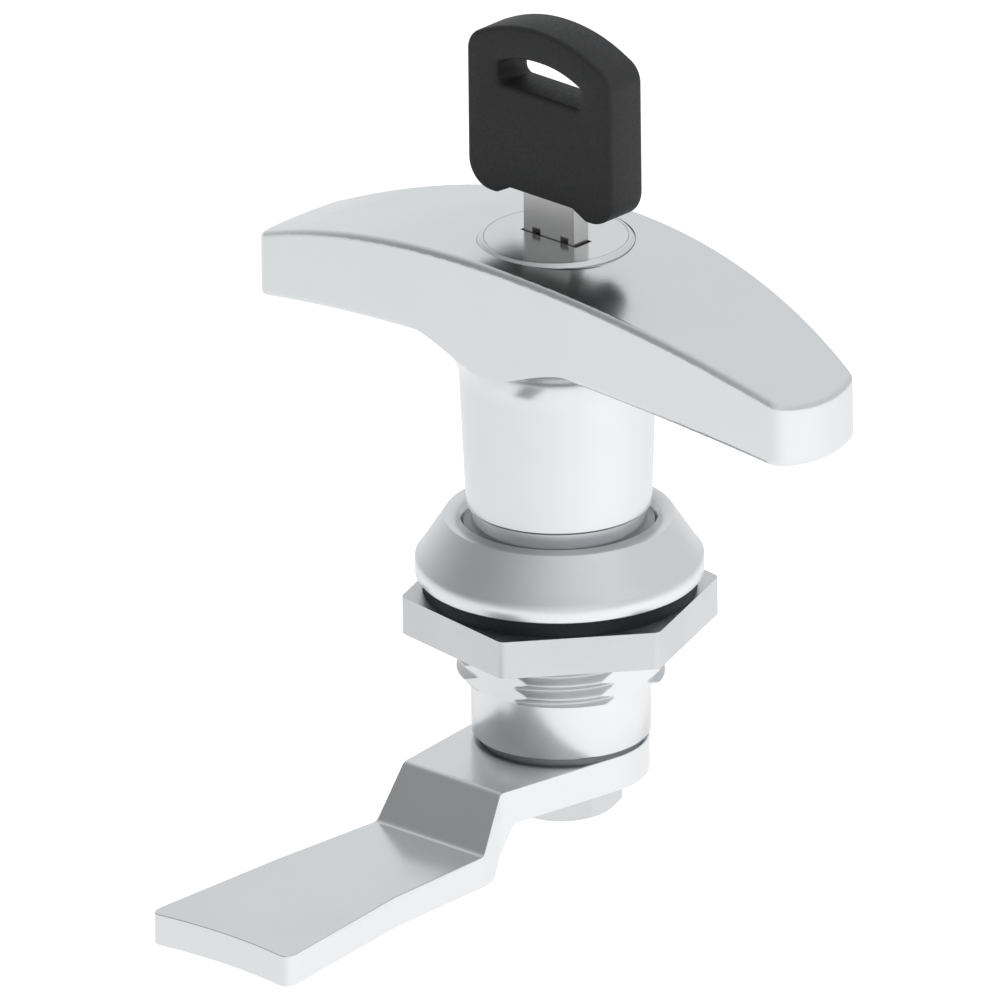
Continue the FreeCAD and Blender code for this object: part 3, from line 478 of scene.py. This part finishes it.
FLOOR = -0.12
FLOOR_REACH = 6
FLOOR_GLOW = 0.12
GLOW_IN_METAL = 0.10
GLOW_TO_CAMERA = 0.35
FRONT_LEFT = Vector((-0.53, -0.68, 0.5)).normalized()
ROOM_GREYS = ((0.25, 0.72), (0.5, 0.84), (0.75, 0.66), (0.925, 0.42), (1.0, 0.31))
ROOM_TINT = (0.985, 1.0, 1.01)
LAMP_PLACE = (0.45, 0.1, 0.6)
LAMP_SIZE = 0.5
LAMP_POWER = 3.0

floor_paper, tree, shader, place = material("floor_paper")
shader.inputs["Base Color"].default_value = (0.9, 0.9, 0.9, 1)
shader.inputs["Roughness"].default_value = 0.9
ray = tree.nodes.new("ShaderNodeLightPath").outputs
mirrored = maths(tree, "MAXIMUM", ray["Is Glossy Ray"], ray["Is Transmission Ray"])
strength = maths(tree, "MULTIPLY_ADD", mirrored, GLOW_IN_METAL, FLOOR_GLOW)
strength = maths(tree, "MULTIPLY_ADD", ray["Is Camera Ray"], GLOW_TO_CAMERA, strength)
glow = added(tree, "ShaderNodeEmission", Strength=strength)
lit = tree.nodes.new("ShaderNodeAddShader")
tree.links.new(glow.outputs["Emission"], lit.inputs[0])
tree.links.new(shader.outputs["BSDF"], lit.inputs[1])
tree.links.new(lit.outputs["Shader"], tree.nodes["Material Output"].inputs["Surface"])
sheet = bmesh.new()
bmesh.ops.create_grid(sheet, x_segments=4, y_segments=4, size=FLOOR_REACH)
bmesh.ops.translate(sheet, vec=(0, 0, FLOOR), verts=sheet.verts)
as_piece(sheet, "floor", floor_paper)

world = bpy.data.worlds.new("studio")
bpy.context.scene.world = world
world.use_nodes = True
tree = world.node_tree
tree.nodes.clear()
dot = tree.nodes.new("ShaderNodeVectorMath")
dot.operation = "DOT_PRODUCT"
dot.inputs[1].default_value = FRONT_LEFT
tree.links.new(tree.nodes.new("ShaderNodeTexCoord").outputs["Generated"], dot.inputs[0])
ramp = added(tree, "ShaderNodeValToRGB", Fac=maths(tree, "MULTIPLY_ADD", dot.outputs["Value"], 0.5, 0.5))
while len(ramp.color_ramp.elements) < len(ROOM_GREYS):
    ramp.color_ramp.elements.new(0.5)
for stop, (position, grey) in zip(ramp.color_ramp.elements, ROOM_GREYS):
    stop.position = position
    stop.color = (*(grey * tint for tint in ROOM_TINT), 1)
room = added(tree, "ShaderNodeBackground", Color=ramp.outputs["Color"])
added(tree, "ShaderNodeOutputWorld", Surface=room.outputs["Background"])

lamp = bpy.data.lights.new("side_light", "AREA")
lamp.shape = "DISK"
lamp.size = LAMP_SIZE
lamp.energy = LAMP_POWER
holder = bpy.data.objects.new("side_light", lamp)
holder.location = LAMP_PLACE
holder.visible_glossy = False
holder.rotation_euler = holder.location.to_track_quat("Z", "Y").to_euler()
bpy.context.scene.collection.objects.link(holder)


# Camera: the photograph has no perspective to speak of, so the lens is parallel. It leans by half a
# degree.

AZIMUTH = radians(42.88)
ELEVATION = radians(22.06)
ROLL = radians(-0.62)
VIEW_WIDTH = 0.10537
VIEW_RIGHT = -0.006312
VIEW_UP = 0.009089
VIEW_BACK = 0.6

back = Vector((sin(AZIMUTH) * cos(ELEVATION), -cos(AZIMUTH) * cos(ELEVATION), sin(ELEVATION)))
level = Vector((cos(AZIMUTH), sin(AZIMUTH), 0))
lean = Quaternion(back, ROLL)
lens = bpy.data.cameras.new("camera")
lens.type = "ORTHO"
lens.ortho_scale = VIEW_WIDTH
camera = bpy.data.objects.new("camera", lens)
camera.location = (lean @ level) * VIEW_RIGHT + (lean @ back.cross(level)) * VIEW_UP + back * VIEW_BACK
camera.rotation_euler = (lean @ back.to_track_quat("Z", "Y")).to_euler()
bpy.context.scene.collection.objects.link(camera)
bpy.context.scene.camera = camera
bpy.context.scene.view_settings.view_transform = "Standard"
